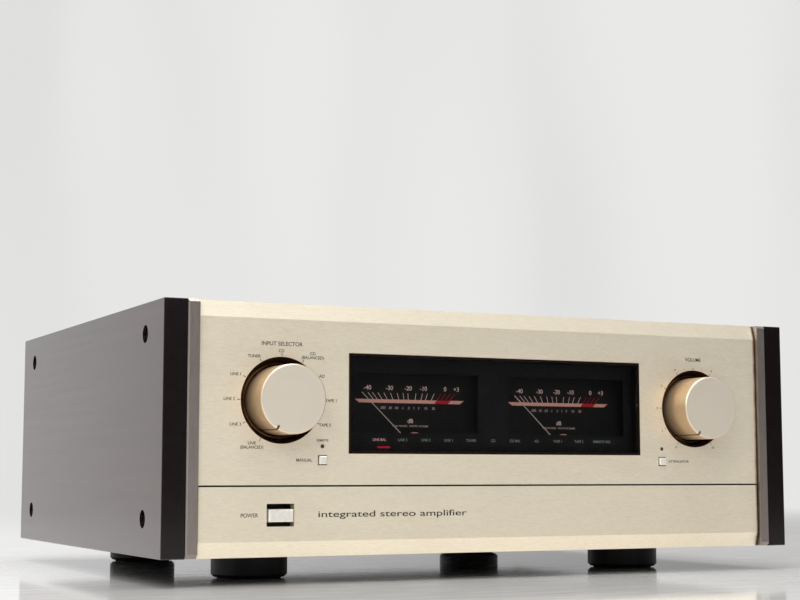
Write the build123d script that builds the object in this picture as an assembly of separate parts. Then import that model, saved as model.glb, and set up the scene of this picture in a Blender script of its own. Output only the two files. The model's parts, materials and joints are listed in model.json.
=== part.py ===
from build123d import *
import os

os.makedirs("parts", exist_ok=True)

# Integrated amplifier: champagne fascia between two wooden sides, a dark window with two
# needle meters, two large knobs in dished rings and a drop-down flap over the small controls.
#
# Frame: +X to the right and +Y to the rear as seen by the listener in front, +Z up.
# The origin is on the floor under the middle of the whole amplifier. Millimetres.
#
# Most places are given as a depth behind the fascia's front face, turned into Y by back(),
# and as a height above the bottom of the case, turned into Z by up().

# ---------------------------------------------------------------- driving dimensions
WIDTH = 475.0                 # over the wooden sides
DEPTH = 422.0                 # knob faces to the ends of the speaker terminals
FOOT_HEIGHT = 17.4
CASE_HEIGHT = 160.4
CASE_DEPTH = 372.5            # fascia's front face to the rear edges of the wooden sides
KNOB_REACH = 20.6             # knob face in front of the fascia

# case
WOOD_T = 15.4
WOOD_ROUND = 0.6
WOOD_PROUD = 1.2              # wooden sides stand in front of the fascia's face
PILLAR_W = 7.5
PILLAR_PROUD = 2.7
PILLAR_SHORT = 0.2            # pillar ends stop short of the case's top and bottom
PILLAR_TOP_BEVEL = 1.7
PILLAR_FOOT_BEVEL = 2.6
PILLAR_EDGE_BEVEL = 0.9       # along the edge next to the wood
SHEET = 2.0                   # steel plates
COVER_T = 1.5
FASCIA_W = 427.6
FASCIA_T = 9.0
FASCIA_CHAMFER_H = 10.3       # the sloping top border of the fascia
FASCIA_CHAMFER_D = 3.0
SUBPANEL_DEPTH = 24.0         # front face of the steel front chassis
REAR_RECESS = 6.0             # rear panel in front of the wood's rear edge

# flap
FLAP_W = 427.0
FLAP_H = 43.8
FLAP_T = 7.0
FLAP_CHAMFER_H = 9.7
FLAP_CHAMFER_D = 2.7
SPLIT = 1.1                   # gap between flap and fascia
HINGE_DEPTH = 4.0
HINGE_UP = 5.0
HINGE_PIN_R = 1.5

# large knobs
KNOB_X = 159.0
KNOB_UP = 98.4
KNOB_R = 22.0
KNOB_EDGE = 0.7
KNOB_TAIL = 7.0               # how far the knob reaches behind the fascia's face
DISH_R = 27.5
DISH_FLOOR_R = 24.2
DISH_BORE_R = 23.0
DISH_D = 5.5
POINTER_ANGLE = -150.0        # clockwise from twelve o'clock, seen from the front
SHAFT_R = 3.0
SHAFT_IN_KNOB = 17.0
RUNNING = 0.05                # radial clearance of a shaft in its bush

# window and meters
WINDOW_W = 224.9
WINDOW_LOW = 64.9
WINDOW_H = 65.0
WINDOW_RIM = 1.5
GLASS_DEPTH = 0.7
GLASS_T = 3.0
MASK_DEPTH = 11.8
MASK_T = 1.2
MASK_HOLE_X = 58.8            # middle of each opening
MASK_HOLE_W = 94.2
MASK_HOLE_LOW = 78.9
MASK_HOLE_H = 39.5
METER_X = 58.1
METER_PIVOT_UP = 71.4
METER_PLATE_DEPTH = 21.6
METER_REST = -46.6            # needle angle at rest, clockwise from straight up
NEEDLE_LENGTH = 50.2
NEEDLE_ROOT_HALF = 0.32         # half widths of the pointer blade
NEEDLE_TIP_HALF = 0.18
NEEDLE_HUB_R = 3.2
NEEDLE_TAIL = 7.0
STANDOFF_R = 4.0
STANDOFF_PLACES = [(200.0, 52.0), (200.0, 148.0), (121.0, 148.0), (112.0, 52.0)]  # x, height
METER_SPINDLE_R = 0.8
HOUSING_W = 228.0
HOUSING_H = 71.6
HOUSING_DEPTH = 52.0
HOUSING_WALL = 2.0
LAMP_COUNT = 11
LAMP_PITCH = 17.1
LAMP_MIDDLE = 3.2             # X of the middle lamp
LAMP_W = 9.6
LAMP_H = 1.3
LAMP_UP = 69.5
LAMP_BACK = 16.8

# push buttons
BUTTON_X = 130.75
BUTTON_UP = 60.7
BUTTON_SIDE = 5.2
BUTTON_HOLE = 6.4
BUTTON_REACH = 1.7            # face in front of the fascia
LED_UP = 69.5
LED_R = 1.25
POWER_X = -159.2
POWER_UP = 25.9
POWER_W = 16.6
POWER_H = 7.9
POWER_REACH = 2.0
POWER_CUTOUT_W = 18.6
POWER_CUTOUT_LOW = 19.0
POWER_CUTOUT_H = 14.3
POWER_STEM_W = 6.0
POWER_STEM_H = 4.0

# controls behind the flap
SMALL_UP = 23.0
SMALL_KNOB_R = 6.5
SPEAKER_KNOB_X = -112.0
BASS_KNOB_X = -62.0
TREBLE_KNOB_X = -22.0
BALANCE_KNOB_X = 18.0
TONE_BUTTON_X = 62.0
MONO_BUTTON_X = 98.0
PHONES_X = 165.0
PHONES_BORE_R = 3.2
PHONES_BORE_L = 32.0

# feet
FOOT_X = 149.5
FOOT_FRONT = 81.0             # depth of the front pair's centres
FOOT_REAR = 324.7
FOOT_R = 25.7
FOOT_STEP = 0.9               # foot's underside above the floor, beside the pad
FOOT_BEVEL = 1.9
PAD_R = 21.5
PAD_H = 2.4
FOOT_WELL_R = 6.0
FOOT_WELL_TOP = 10.0

# screws in the wooden sides
SIDE_SCREW_DEPTHS = (37.5, 337.5)
SIDE_SCREW_HEIGHTS = (23.7, 140.4)
COUNTERBORE_R = 5.75
COUNTERBORE_D = 6.0
COVER_SCREW_INSET = 7.5       # cover and rear panel screws, from the wood's inner face

# speaker terminals
POST_R = 4.0
POST_BORE_R = 2.05
POST_BORE_L = 20.0
POST_PITCH = 24.0
POST_ROWS = (30.0, 56.0)
POST_FIRST_X = 104.0
POST_COLUMNS = 4

# other rear connectors
PHONO_FIRST_X = -196.0
PHONO_PITCH = 17.0
PHONO_COLUMNS = 10
PHONO_ROWS = (136.0, 118.0)
BALANCED_COLUMNS = (30.0, 64.0)
BALANCED_ROWS = (134.0, 100.0)
INLET_X = -176.0
INLET_BODY_W = 27.0
INLET_BODY_H = 19.6

# inside the case
TRANSFORMER_X = -62.0
TRANSFORMER_DEPTH = 120.0
TRANSFORMER_R = 62.0
TRANSFORMER_H = 66.0
CAN_R = 25.0
CAN_H = 82.0
CAN_COLUMNS = (38.0, 92.0)
CAN_DEPTHS = (94.0, 148.0)
SINK_ROOT_X = 152.0
SINK_OUTER_X = 206.0
SINK_FIRST = 86.0
SINK_LAST = 310.0
SINK_TOP = 148.0
SINK_PLATE_T = 7.0
FIN_T = 3.0
FIN_COUNT = 24
DEVICE_T = 5.0
BOARD_T = 1.6

# ---------------------------------------------------------------- derived places
BASE = FOOT_HEIGHT
TOP = BASE + CASE_HEIGHT
FRONT = -DEPTH / 2 + KNOB_REACH
REAR = FRONT + CASE_DEPTH
WOOD_INNER = WIDTH / 2 - WOOD_T
REAR_FACE = REAR - REAR_RECESS
DECK = BASE + 0.5 + SHEET             # upper face of the base plate
CEILING = TOP - 1.1 - COVER_T         # underside of the top cover
WINDOW_UP = WINDOW_LOW + WINDOW_H / 2
SUBPANEL_BACK = SUBPANEL_DEPTH + SHEET
COVER_SCREW_X = WOOD_INNER - COVER_SCREW_INSET
INLET_Z = BASE + 34.0
SMALL_KNOBS = {"speaker_knob": SPEAKER_KNOB_X, "bass_knob": BASS_KNOB_X,
               "treble_knob": TREBLE_KNOB_X, "balance_knob": BALANCE_KNOB_X}
BUTTONS = [(-BUTTON_X, BUTTON_UP), (BUTTON_X, BUTTON_UP),
           (TONE_BUTTON_X, SMALL_UP), (MONO_BUTTON_X, SMALL_UP)]


def back(depth):
    """Y of a point that lies depth behind the fascia's front face."""
    return FRONT + depth


def up(height):
    """Z of a point that lies height above the bottom of the case."""
    return BASE + height


def block(x0, x1, y0, y1, z0, z1):
    """Box between two corners."""
    centre = Pos((x0 + x1) / 2, (y0 + y1) / 2, (z0 + z1) / 2)
    return centre * Box(abs(x1 - x0), abs(y1 - y0), abs(z1 - z0))


def panel(width, height, x, z, y0, y1):
    """Box centred on x and z, between two depths."""
    return block(x - width / 2, x + width / 2, y0, y1, z - height / 2, z + height / 2)


def rod_y(x, z, radius, y0, y1):
    """Cylinder along Y."""
    return Pos(x, (y0 + y1) / 2, z) * Rot(90, 0, 0) * Cylinder(radius, abs(y1 - y0))


def rod_z(x, y, radius, z0, z1):
    """Cylinder along Z."""
    return Pos(x, y, (z0 + z1) / 2) * Cylinder(radius, abs(z1 - z0))


def rod_x(y, z, radius, x0, x1):
    """Cylinder along X."""
    return Pos((x0 + x1) / 2, y, z) * Rot(0, 90, 0) * Cylinder(radius, abs(x1 - x0))


def bar_x(outline, x0, x1):
    """Bar along X from an outline of (y, z) corners."""
    face = make_face(Polyline(*outline, close=True))
    return extrude(Pos(x0, 0, 0) * (Plane.YZ * face), amount=x1 - x0)


def turned_y(outline, x, z):
    """Solid turned about an axis along Y from an outline of (radius, y) corners."""
    face = make_face(Polyline(*outline, close=True))
    return Pos(x, 0, z) * revolve(face, axis=Axis.Y)


def turned_z(outline, x, y):
    """Solid turned about an axis along Z from an outline of (radius, z) corners."""
    face = make_face(Polyline(*outline, close=True))
    return Pos(x, y, 0) * revolve(Plane.XZ * face, axis=Axis.Z)


def around(angle, x, z):
    """Placement on an axis along Y, turned clockwise by angle as seen from the front."""
    return Pos(x, 0, z) * Rot(0, angle, 0)


# ---------------------------------------------------------------- case
def wood_side(side):
    """Solid wood side with four counterbored screw holes."""
    inner, outer = side * WOOD_INNER, side * WIDTH / 2
    board = block(inner, outer, back(-WOOD_PROUD), REAR, BASE, TOP)
    board = fillet(board.edges(), WOOD_ROUND)
    floor = outer - side * COUNTERBORE_D
    for depth in SIDE_SCREW_DEPTHS:
        for height in SIDE_SCREW_HEIGHTS:
            board -= rod_x(back(depth), up(height), COUNTERBORE_R, floor, outer + side)
            board -= rod_x(back(depth), up(height), 2.1, inner - side, floor)
    return [board]


def wood_side_screws():
    """Socket-head screws that hold the wooden sides to the side frames."""
    screws = []
    for side in (-1, 1):
        floor = side * (WIDTH / 2 - COUNTERBORE_D)
        for depth in SIDE_SCREW_DEPTHS:
            for height in SIDE_SCREW_HEIGHTS:
                y, z = back(depth), up(height)
                head = rod_x(y, z, 4.6, floor, floor + side * 4.0)
                shank = rod_x(y, z, 2.0, floor - side * 13.0, floor)
                hexagon = Rot(0, 90, 0) * extrude(RegularPolygon(2.3, 6), amount=2.2, both=True)
                socket = Pos(floor + side * 4.0, y, z) * hexagon
                screws.append(head + shank - socket)
    return screws


def side_pillars():
    """Grey metal posts between the fascia's ends and the wood."""
    pillars = []
    for side in (-1, 1):
        outer = side * WOOD_INNER
        inner = side * (WOOD_INNER - PILLAR_W)
        low, high = BASE + PILLAR_SHORT, TOP - PILLAR_SHORT
        post = block(inner, outer, back(-PILLAR_PROUD), back(SUBPANEL_DEPTH), low, high)
        front_ends = post.edges().filter_by(Axis.X).sort_by(Axis.Y)[:2].sort_by(Axis.Z)
        post = chamfer(front_ends[-1:], PILLAR_TOP_BEVEL)
        front_ends = post.edges().filter_by(Axis.X).sort_by(Axis.Z)[:2].sort_by(Axis.Y)
        post = chamfer(front_ends[:1], PILLAR_FOOT_BEVEL)
        outer_edge = [edge for edge in post.edges().filter_by(Axis.Z).sort_by(Axis.Y)[:2]
                      if abs(edge.center().X) > WOOD_INNER - 1]
        post = chamfer(outer_edge, PILLAR_EDGE_BEVEL)
        post -= rod_x(back(HINGE_DEPTH), up(HINGE_UP), HINGE_PIN_R, inner - side, inner + side * 5)
        pillars.append(post)
    return pillars


def side_frames():
    """Steel side walls with a top lip for the cover and a rear lip for the rear panel."""
    frames = []
    for side in (-1, 1):
        outer, inner = side * WOOD_INNER, side * (WOOD_INNER - SHEET)
        lip = side * (WOOD_INNER - 13.0)
        rear_lip_y = REAR_FACE - SHEET
        frame = block(inner, outer, back(SUBPANEL_BACK), rear_lip_y, DECK, CEILING)
        frame += block(lip, outer, back(SUBPANEL_BACK), rear_lip_y, CEILING - SHEET, CEILING)
        frame += block(lip, outer, rear_lip_y - SHEET, rear_lip_y, DECK, CEILING)
        for depth in SIDE_SCREW_DEPTHS:
            for height in SIDE_SCREW_HEIGHTS:
                frame -= rod_x(back(depth), up(height), 2.05, inner - side, outer + side)
        for y in cover_screw_ys():
            frame -= rod_z(side * COVER_SCREW_X, y, 1.55, CEILING - 3, CEILING + 1)
        for z in rear_screw_zs():
            frame -= rod_y(side * COVER_SCREW_X, z, 1.55, rear_lip_y - 3, rear_lip_y + 1)
        frames.append(frame)
    return frames


def cover_screw_ys():
    return [back(45.0), back(150.0), back(255.0), back(350.0)]


def rear_screw_zs():
    return [up(14.0), up(80.0), up(145.0)]


def case_screws():
    """Pan-head screws of the top cover and the rear panel."""
    screws = []
    for side in (-1, 1):
        x = side * COVER_SCREW_X
        for y in cover_screw_ys():
            head = rod_z(x, y, 2.9, TOP - 1.1, TOP - 0.1)
            slot = block(x - 2.0, x + 2.0, y - 0.3, y + 0.3, TOP - 0.6, TOP)
            screws.append(head - slot + rod_z(x, y, 1.5, TOP - 8.0, TOP - 1.1))
        for z in rear_screw_zs():
            head = rod_y(x, z, 2.9, REAR_FACE, REAR_FACE + 1.8)
            slot = block(x - 0.3, x + 0.3, REAR_FACE + 1.0, REAR_FACE + 2.0, z - 2.0, z + 2.0)
            screws.append(head - slot + rod_y(x, z, 1.5, REAR_FACE - 8.0, REAR_FACE))
    return screws


def pillar_notch(side):
    """Cutter that clears one pillar at a front corner of the base plate or the cover."""
    inner, outer = side * (WOOD_INNER - PILLAR_W - 0.2), side * (WOOD_INNER + 1)
    return block(inner, outer, FRONT, back(SUBPANEL_DEPTH), BASE - 1, TOP + 1)


def base_plate():
    """Steel floor of the chassis."""
    plate = block(-WOOD_INNER, WOOD_INNER, back(12.0), REAR_FACE - SHEET, BASE + 0.5, DECK)
    for side in (-1, 1):
        plate -= pillar_notch(side)
        for depth in (FOOT_FRONT, FOOT_REAR):
            plate -= rod_z(side * FOOT_X, back(depth), 2.05, BASE, DECK + 1)
    return [plate]


def vent_slot(x, y, width, length):
    """Cutter for one round-ended slot along Y in the top cover."""
    outline = Rot(0, 0, 90) * SlotOverall(length, width)
    return Pos(x, y, CEILING - 1) * extrude(outline, amount=COVER_T + 2)


def top_cover():
    """Steel lid with rows of ventilation slots over the heatsinks and the transformer."""
    cover = block(-WOOD_INNER, WOOD_INNER, back(FASCIA_T), REAR_FACE, CEILING, CEILING + COVER_T)
    cutters = [pillar_notch(side) for side in (-1, 1)]
    for row_depth in (95.0, 190.0, 285.0):
        for x in range(-192, 193, 12):
            cutters.append(vent_slot(x, back(row_depth), 4.0, 78.0))
    for side in (-1, 1):
        for y in cover_screw_ys():
            cutters.append(rod_z(side * COVER_SCREW_X, y, 1.6, CEILING - 1, TOP))
    return [cover - cutters]


def front_chassis():
    """Steel plate behind the fascia: carries switches, potentiometers and meter housing."""
    y0, y1 = back(SUBPANEL_DEPTH), back(SUBPANEL_BACK)
    plate = block(-WOOD_INNER, WOOD_INNER, y0, y1, DECK, CEILING)
    cutters = [panel(HOUSING_W + 1, HOUSING_H + 1, 0, up(WINDOW_UP), y0 - 1, y1 + 1)]
    for side in (-1, 1):
        cutters.append(rod_y(side * KNOB_X, up(KNOB_UP), 5.0, y0 - 1, y1 + 1))
        cutters.append(rod_y(side * BUTTON_X, up(BUTTON_UP), 2.2, y0 - 1, y1 + 1))
    for x in SMALL_KNOBS.values():
        cutters.append(rod_y(x, up(SMALL_UP), 4.6, y0 - 1, y1 + 1))
    for x in (TONE_BUTTON_X, MONO_BUTTON_X):
        cutters.append(rod_y(x, up(SMALL_UP), 2.2, y0 - 1, y1 + 1))
    cutters.append(rod_y(PHONES_X, up(SMALL_UP), 5.6, y0 - 1, y1 + 1))
    cutters.append(panel(POWER_W + 0.8, POWER_H + 0.8, POWER_X, up(POWER_UP), y0 - 1, y1 + 1))
    return [plate - cutters]


def panel_standoffs():
    """Round spacers between the fascia and the front chassis."""
    spacers = []
    for side in (-1, 1):
        for x, height in STANDOFF_PLACES:
            spacers.append(rod_y(side * x, up(height), STANDOFF_R, back(FASCIA_T),
                                 back(SUBPANEL_DEPTH)))
    return spacers


def rear_panel():
    """Steel rear wall with the holes of every connector."""
    y0, y1 = REAR_FACE - SHEET, REAR_FACE
    plate = block(-WOOD_INNER, WOOD_INNER, y0, y1, DECK, CEILING)
    cutters = []
    for x, z in rca_places():
        cutters.append(rod_y(x, z, 5.1, y0 - 1, y1 + 1))
    for x, z in balanced_places():
        cutters.append(rod_y(x, z, 11.1, y0 - 1, y1 + 1))
    for x, z in terminal_places():
        cutters.append(rod_y(x, z, 7.0, y0 - 1, y1 + 1))
    cutters.append(panel(INLET_BODY_W + 0.4, INLET_BODY_H + 0.4, INLET_X, INLET_Z, y0 - 1, y1 + 1))
    for side in (-1, 1):
        for z in rear_screw_zs():
            cutters.append(rod_y(side * COVER_SCREW_X, z, 1.6, y0 - 1, y1 + 1))
    return [plate - cutters]


# ---------------------------------------------------------------- feet
def foot_places():
    return [(side * FOOT_X, back(depth)) for depth in (FOOT_FRONT, FOOT_REAR) for side in (-1, 1)]


def feet():
    """Turned round feet with a recess for the pad and a well for the screw."""
    seat = BASE + 0.5
    outline = [(2.05, FOOT_WELL_TOP), (FOOT_WELL_R, FOOT_WELL_TOP), (FOOT_WELL_R, PAD_H),
               (PAD_R + 0.1, PAD_H), (PAD_R + 0.1, FOOT_STEP), (FOOT_R - FOOT_BEVEL, FOOT_STEP),
               (FOOT_R, FOOT_STEP + FOOT_BEVEL), (FOOT_R, seat), (2.05, seat)]
    return [turned_z(outline, x, y) for x, y in foot_places()]


def foot_pads():
    """Rubber pads that the amplifier stands on."""
    return [rod_z(x, y, PAD_R, 0, PAD_H) for x, y in foot_places()]


def foot_screws():
    """Screws up through the feet into the base plate."""
    screws = []
    for x, y in foot_places():
        head = rod_z(x, y, 4.5, FOOT_WELL_TOP - 3.0, FOOT_WELL_TOP)
        screws.append(head + rod_z(x, y, 2.0, FOOT_WELL_TOP, DECK + 4.0))
    return screws


# ---------------------------------------------------------------- fascia and flap
def front_panel():
    """Upper fascia: window, two dish bores, two square button holes and two lamp holes."""
    low = up(FLAP_H + SPLIT)
    outline = [(FRONT, low), (FRONT, TOP - FASCIA_CHAMFER_H), (back(FASCIA_CHAMFER_D), TOP),
               (back(FASCIA_T), TOP), (back(FASCIA_T), low)]
    plate = bar_x(outline, -FASCIA_W / 2, FASCIA_W / 2)
    y0, y1 = FRONT - 1, back(FASCIA_T) + 1
    cutters = [panel(WINDOW_W, WINDOW_H, 0, up(WINDOW_UP), y0, y1)]
    for side in (-1, 1):
        cutters.append(rod_y(side * KNOB_X, up(KNOB_UP), DISH_R + 0.1, y0, y1))
        cutters.append(panel(BUTTON_HOLE, BUTTON_HOLE, side * BUTTON_X, up(BUTTON_UP), y0, y1))
        cutters.append(rod_y(side * BUTTON_X, up(LED_UP), LED_R + 0.1, y0, y1))
    return [plate - cutters]


def front_flap():
    """Drop-down flap with a bevelled lower border and a window for the power button."""
    top = up(FLAP_H)
    outline = [(back(FLAP_CHAMFER_D), BASE), (FRONT, up(FLAP_CHAMFER_H)), (FRONT, top),
               (back(FLAP_T), top), (back(FLAP_T), BASE)]
    flap = bar_x(outline, -FLAP_W / 2, FLAP_W / 2)
    middle = up(POWER_CUTOUT_LOW + POWER_CUTOUT_H / 2)
    flap -= panel(POWER_CUTOUT_W, POWER_CUTOUT_H, POWER_X, middle, FRONT - 1, back(FLAP_T) + 1)
    for side in (-1, 1):
        inner, outer = side * (FLAP_W / 2 - 6.5), side * (FLAP_W / 2 + 1)
        bore = HINGE_PIN_R + RUNNING
        flap -= rod_x(back(HINGE_DEPTH), up(HINGE_UP), bore, inner, outer)
    return [flap]


def flap_hinge_pins():
    """Steel pins from the pillars into the flap's ends."""
    y, z = back(HINGE_DEPTH), up(HINGE_UP)
    inner, outer = FLAP_W / 2 - 6.0, WOOD_INNER - PILLAR_W + 5.0
    return [rod_x(y, z, HINGE_PIN_R, side * inner, side * outer) for side in (-1, 1)]


# ---------------------------------------------------------------- large knobs
def dish_rings():
    """Polished dished rings that the large knobs sit in."""
    bottom = back(DISH_D)
    outline = [(DISH_R, FRONT), (DISH_R, back(FASCIA_T)), (DISH_BORE_R, back(FASCIA_T)),
               (DISH_BORE_R, bottom), (DISH_FLOOR_R, bottom), (DISH_R - 0.25, FRONT)]
    return [turned_y(outline, side * KNOB_X, up(KNOB_UP)) for side in (-1, 1)]


def large_knob(side):
    """Turned metal knob with a pointer groove along its side and over its edge."""
    x, z = side * KNOB_X, up(KNOB_UP)
    face, tail = FRONT - KNOB_REACH, back(KNOB_TAIL)
    outline = [(0, face), (KNOB_R - KNOB_EDGE, face), (KNOB_R, face + KNOB_EDGE), (KNOB_R, tail),
               (0, tail)]
    knob = turned_y(outline, x, z)
    groove = block(-0.75, 0.75, face - 1, tail + 1, KNOB_R - 0.9, KNOB_R + 1)
    notch = block(-0.75, 0.75, face - 1, face + 1.2, KNOB_R - 2.9, KNOB_R + 1)
    knob -= around(POINTER_ANGLE, x, z) * (groove + notch)
    return [knob - rod_y(x, z, SHAFT_R + 0.02, tail - SHAFT_IN_KNOB, tail + 1)]


def large_shaft(side):
    """Steel control shaft."""
    return [rod_y(side * KNOB_X, up(KNOB_UP), SHAFT_R, back(KNOB_TAIL - SHAFT_IN_KNOB), back(38.0))]


def threaded_bush(x, z, radius, y0):
    """Outside of a control's bush, from y0 to the rear face of the front chassis."""
    return rod_y(x, z, radius, y0, back(SUBPANEL_BACK))


def input_selector_switch():
    """Rotary wafer switch: bush, indexing head, two wafers and their spacers."""
    x, z = -KNOB_X, up(KNOB_UP)
    start = back(SUBPANEL_BACK)
    switch = threaded_bush(x, z, 4.8, back(14.0))
    switch += rod_y(x, z, 17.0, start, start + 9.0)
    for offset in (16.0, 28.0):
        switch += rod_y(x, z, 20.0, start + offset, start + offset + 2.0)
    for angle in (45, 225):
        pillar = rod_y(0, 14.0, 2.0, start + 8.0, start + 32.0)
        switch += around(angle, x, z) * pillar
    return [switch - rod_y(x, z, SHAFT_R + RUNNING, back(13.0), back(39.0))]


def volume_potentiometer():
    """Four-gang potentiometer with its drive motor beside it."""
    x, z = KNOB_X, up(KNOB_UP)
    start = back(SUBPANEL_BACK)
    pot = threaded_bush(x, z, 4.8, back(14.0))
    pot += rod_y(x, z, 14.0, start, start + 42.0)
    pot += panel(24.0, 34.0, x, z - 12.0, start + 42.0, start + 52.0)
    pot += rod_y(x, z - 20.0, 8.5, start + 14.0, start + 42.0)
    return [pot - rod_y(x, z, SHAFT_R + RUNNING, back(13.0), back(39.0))]


# ---------------------------------------------------------------- push buttons
def square_button(x, height, front_depth, flange_depth):
    """Square button head, its flange and a round stem into its switch."""
    z = up(height)
    head = panel(BUTTON_SIDE, BUTTON_SIDE, x, z, back(front_depth), back(flange_depth))
    rim = head.faces().sort_by(Axis.Y)[0].edges()
    head = chamfer(rim, 0.5)
    flange = panel(8.6, 8.6, x, z, back(flange_depth), back(flange_depth + 1.3))
    stem = rod_y(x, z, 1.5, back(flange_depth + 1.3), back(29.0))
    return [head + flange + stem]


def button_switches():
    """Small push switches behind the two fascia buttons and the two sub-panel buttons."""
    switches = []
    for x, height in BUTTONS:
        z = up(height)
        body = panel(12.0, 12.0, x, z, back(SUBPANEL_BACK), back(38.0))
        switches.append(body - rod_y(x, z, 1.55, back(SUBPANEL_BACK) - 1, back(34.0)))
    return switches


def status_leds():
    """Light guides of the two small lamps above the fascia buttons."""
    guides = []
    for side in (-1, 1):
        guides.append(rod_y(side * BUTTON_X, up(LED_UP), LED_R, back(0.2), back(SUBPANEL_DEPTH)))
    return guides


def power_button():
    """Rectangular mains button with a stepped stem."""
    z = up(POWER_UP)
    head = panel(POWER_W, POWER_H, POWER_X, z, back(-POWER_REACH), back(28.0))
    rim = head.faces().sort_by(Axis.Y)[0].edges()
    head = chamfer(rim, 0.8)
    return [head + panel(POWER_STEM_W, POWER_STEM_H, POWER_X, z, back(28.0), back(38.0))]


def power_switch():
    """Latching mains switch on a bracket behind the front chassis."""
    z = up(POWER_UP)
    body = panel(24.0, 20.0, POWER_X, z, back(SUBPANEL_BACK), back(66.0))
    body -= panel(POWER_W + 0.8, POWER_H + 0.8, POWER_X, z, back(25.0), back(32.5))
    return [body - panel(POWER_STEM_W + 0.4, POWER_STEM_H + 0.4, POWER_X, z, back(32.0), back(44.0))]


# ---------------------------------------------------------------- controls behind the flap
def small_knob(x):
    """Small knob with its shaft and a pointer groove at twelve o'clock."""
    z = up(SMALL_UP)
    face, tail = back(10.8), back(22.0)
    outline = [(0, face), (SMALL_KNOB_R - 0.5, face), (SMALL_KNOB_R, face + 0.5),
               (SMALL_KNOB_R, tail), (0, tail)]
    knob = turned_y(outline, x, z)
    knob -= block(x - 0.5, x + 0.5, face - 1, face + 0.6, z + 2.0, z + 8.0)
    knob -= block(x - 0.5, x + 0.5, face - 1, tail + 1, z + SMALL_KNOB_R - 0.5, z + 8.0)
    return [knob + rod_y(x, z, 2.5, tail, back(36.0))]


def small_controls():
    """Bodies of the three potentiometers and the speaker selector behind the flap."""
    bodies = []
    for x in SMALL_KNOBS.values():
        z = up(SMALL_UP)
        body = rod_y(x, z, 4.5, back(22.5), back(SUBPANEL_BACK))
        body += rod_y(x, z, 8.5, back(SUBPANEL_BACK), back(40.0))
        bodies.append(body - rod_y(x, z, 2.5 + RUNNING, back(22.0), back(37.0)))
    return bodies


def headphone_jack():
    """Headphone socket: threaded collar, body and a blind bore for the plug."""
    z = up(SMALL_UP)
    jack = rod_y(PHONES_X, z, 5.5, back(21.0), back(SUBPANEL_BACK))
    jack += panel(17.0, 16.0, PHONES_X, z, back(SUBPANEL_BACK), back(58.0))
    return [jack - rod_y(PHONES_X, z, PHONES_BORE_R, back(20.0), back(21.0 + PHONES_BORE_L))]


# ---------------------------------------------------------------- window and meters
def window_frame():
    """Thin bronze rim around the window."""
    y0, y1 = back(0.1), back(FASCIA_T)
    z = up(WINDOW_UP)
    rim = panel(WINDOW_W - 0.1, WINDOW_H - 0.1, 0, z, y0, y1)
    hole = panel(WINDOW_W - 2 * WINDOW_RIM, WINDOW_H - 2 * WINDOW_RIM, 0, z, y0 - 1, y1 + 1)
    return [rim - hole]


def window_glass():
    """Tinted pane held inside the rim."""
    w, h = WINDOW_W - 2 * WINDOW_RIM - 0.1, WINDOW_H - 2 * WINDOW_RIM - 0.1
    return [panel(w, h, 0, up(WINDOW_UP), back(GLASS_DEPTH), back(GLASS_DEPTH + GLASS_T))]


def lamp_places():
    middle = (LAMP_COUNT - 1) / 2
    return [LAMP_MIDDLE + LAMP_PITCH * (i - middle) for i in range(LAMP_COUNT)]


def meter_mask():
    """Black plate behind the glass with two meter openings and a row of lamp slots."""
    y0, y1 = back(MASK_DEPTH), back(MASK_DEPTH + MASK_T)
    mask = panel(226.0, 68.0, 0, up(WINDOW_UP), y0, y1)
    middle = up(MASK_HOLE_LOW + MASK_HOLE_H / 2)
    cutters = []
    for side in (-1, 1):
        cutters.append(panel(MASK_HOLE_W, MASK_HOLE_H, side * MASK_HOLE_X, middle, y0 - 1, y1 + 1))
    for x in lamp_places():
        cutters.append(panel(LAMP_W + 0.1, LAMP_H + 0.1, x, up(LAMP_UP), y0 - 1, y1 + 1))
    return [mask - cutters]


def source_lamps():
    """Small light bars that show the chosen source, one for each slot in the mask."""
    y0, y1 = back(MASK_DEPTH + 0.1), back(LAMP_BACK)
    return [panel(LAMP_W, LAMP_H, x, up(LAMP_UP), y0, y1) for x in lamp_places()]


def meter_housing():
    """Black box behind the mask, open at the front."""
    y0, y1 = back(MASK_DEPTH + MASK_T), back(HOUSING_DEPTH)
    z = up(WINDOW_UP)
    width, height = HOUSING_W - 2 * HOUSING_WALL, HOUSING_H - 2 * HOUSING_WALL
    shell = panel(HOUSING_W, HOUSING_H, 0, z, y0, y1)
    shell -= panel(width, height, 0, z, y0 - 1, y1 - HOUSING_WALL)
    divider = panel(HOUSING_WALL, height, 0, z, back(LAMP_BACK + 0.4), y1 - HOUSING_WALL)
    return [shell + divider]


def meter_scale_plates():
    """Dial plates of the two meters."""
    plates = []
    for side in (-1, 1):
        x = side * METER_X
        y0, y1 = back(METER_PLATE_DEPTH), back(METER_PLATE_DEPTH + 1.0)
        plate = panel(104.0, 60.0, x, up(WINDOW_UP), y0, y1)
        plates.append(plate - rod_y(x, up(METER_PIVOT_UP), 2.0, y0 - 1, y1 + 1))
    return plates


def meter_movements():
    """Moving-coil meter bodies with a bearing bore for the needle's spindle."""
    movements = []
    for side in (-1, 1):
        x, z = side * METER_X, up(METER_PIVOT_UP)
        y0, y1 = back(METER_PLATE_DEPTH + 1.0), back(HOUSING_DEPTH - HOUSING_WALL)
        magnet = panel(40.0, 26.0, x, z + 10.0, y0, y1)
        magnet += rod_y(x, z, 6.0, y0, y0 + 8.0)
        movements.append(magnet - rod_y(x, z, METER_SPINDLE_R + RUNNING, y0 - 1, y0 + 9.0))
    return movements


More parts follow.
